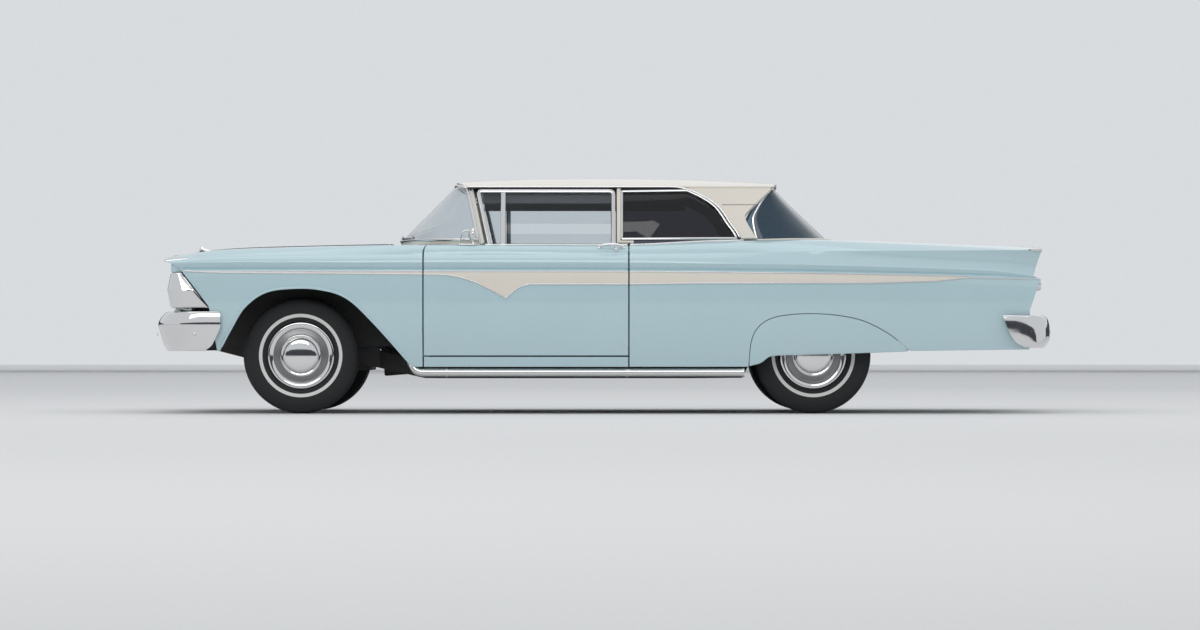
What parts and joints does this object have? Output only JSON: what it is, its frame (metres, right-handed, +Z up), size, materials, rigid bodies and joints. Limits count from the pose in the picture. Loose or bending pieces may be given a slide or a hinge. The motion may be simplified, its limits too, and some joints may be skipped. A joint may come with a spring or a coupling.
{
  "type": "classic car",
  "caption": "Long two-door classic car with tail fins, fender skirts, wraparound windshield, bright bumpers and pipes under the sills.",
  "frame": {"origin": "on the ground under the middle of the body's box", "axes": "+X to the front of the car, +Y to its left, +Z up"},
  "size_m": [5.357, 2.026, 1.42],
  "materials": {
    "body_paint": "gloss",
    "roof_paint": "gloss",
    "chrome": "polished",
    "glass": "polished",
    "lamp_glass": "polished",
    "lamp_red": "gloss",
    "chassis": "satin",
    "castings": "rough",
    "upholstery": "woven",
    "wheel_plastic": "gloss",
    "tyre": "matte"
  },
  "bodies": {
    "body": {"frame": "chassis", "floor_pan": "chassis", "cowl": "body_paint", "engine_bay": "chassis", "fender_left": "body_paint", "fender_right": "body_paint", "nose_panel": "body_paint", "grille": "chrome", "headlamps": "lamp_glass", "bumper_front": "chrome", "bumper_rear": "chrome", "rockers": "body_paint", "quarter_left": "body_paint", "quarter_right": "body_paint", "skirts": "body_paint", "parcel_shelf": "body_paint", "tail_panel": "body_paint", "tail_lamps": "lamp_red", "roof": "roof_paint", "windshield": "glass", "rear_window": "glass", "quarter_glass": "glass", "front_seat": "upholstery", "rear_seat": "upholstery", "dashboard": "body_paint", "powertrain": "castings", "exhaust": "chrome", "fuel_tank": "chassis", "front_suspension": "chassis", "rear_axle": "chassis"},
    "door_left": {"door_left": "body_paint", "door_glass_left": "glass", "door_trim_left": "chrome"},
    "door_right": {"door_right": "body_paint", "door_glass_right": "glass", "door_trim_right": "chrome"},
    "hood": {"hood": "body_paint"},
    "trunk_lid": {"trunk_lid": "body_paint"},
    "steering_wheel": {"steering_wheel": "wheel_plastic"},
    "knuckle_left": {"knuckle_left": "castings"},
    "knuckle_right": {"knuckle_right": "castings"},
    "wheel_fl": {"wheel_fl": "chrome", "tyre_fl": "tyre"},
    "wheel_fr": {"wheel_fr": "chrome", "tyre_fr": "tyre"},
    "wheel_rl": {"wheel_rl": "chrome", "tyre_rl": "tyre"},
    "wheel_rr": {"wheel_rr": "chrome", "tyre_rr": "tyre"}
  },
  "joints": [
    {"name": "door_left_hinge", "type": "hinge", "parent": "body", "child": "door_left", "pos_m": [0.9889, 0.97996, 0.7], "axis": [0, 0, -1], "range_deg": [0, 65]},
    {"name": "door_right_hinge", "type": "hinge", "parent": "body", "child": "door_right", "pos_m": [0.9889, -0.97996, 0.7], "axis": [0, 0, 1], "range_deg": [0, 65]},
    {"name": "hood_hinge", "type": "hinge", "parent": "body", "child": "hood", "pos_m": [1.29072, 0, 0.99075], "axis": [0, -1, 0], "range_deg": [0, 48]},
    {"name": "trunk_hinge", "type": "hinge", "parent": "body", "child": "trunk_lid", "pos_m": [-1.46847, 0, 1.01806], "axis": [0, 1, 0], "range_deg": [0, 50]},
    {"name": "steer_left", "type": "hinge", "parent": "body", "child": "knuckle_left", "pos_m": [1.79674, 0.64002, 0.34506], "axis": [0, 0, 1], "range_deg": [-30, 30]},
    {"name": "steer_right", "type": "hinge", "parent": "body", "child": "knuckle_right", "pos_m": [1.79674, -0.64002, 0.34506], "axis": [0, 0, 1], "range_deg": [-30, 30]},
    {"name": "steering_wheel_turn", "type": "hinge", "parent": "body", "child": "steering_wheel", "pos_m": [0.66373, 0.38011, 0.85995], "axis": [-0.8829, 0, 0.4695], "range_deg": [-600, 600]},
    {"name": "wheel_fl_spin", "type": "hinge", "parent": "knuckle_left", "child": "wheel_fl", "pos_m": [1.79674, 0.75003, 0.34506], "axis": [0, 1, 0], "continuous": true},
    {"name": "wheel_fr_spin", "type": "hinge", "parent": "knuckle_right", "child": "wheel_fr", "pos_m": [1.79674, -0.75003, 0.34506], "axis": [0, 1, 0], "continuous": true},
    {"name": "wheel_rl_spin", "type": "hinge", "parent": "body", "child": "wheel_rl", "pos_m": [-1.2514, 0.717, 0.34506], "axis": [0, 1, 0], "continuous": true},
    {"name": "wheel_rr_spin", "type": "hinge", "parent": "body", "child": "wheel_rr", "pos_m": [-1.2514, -0.717, 0.34506], "axis": [0, 1, 0], "continuous": true}
  ],
  "couplings": [
    {"joint": "steer_right", "follows": "steer_left", "ratio": 1},
    {"joint": "steering_wheel_turn", "follows": "steer_left", "ratio": 20}
  ]
}
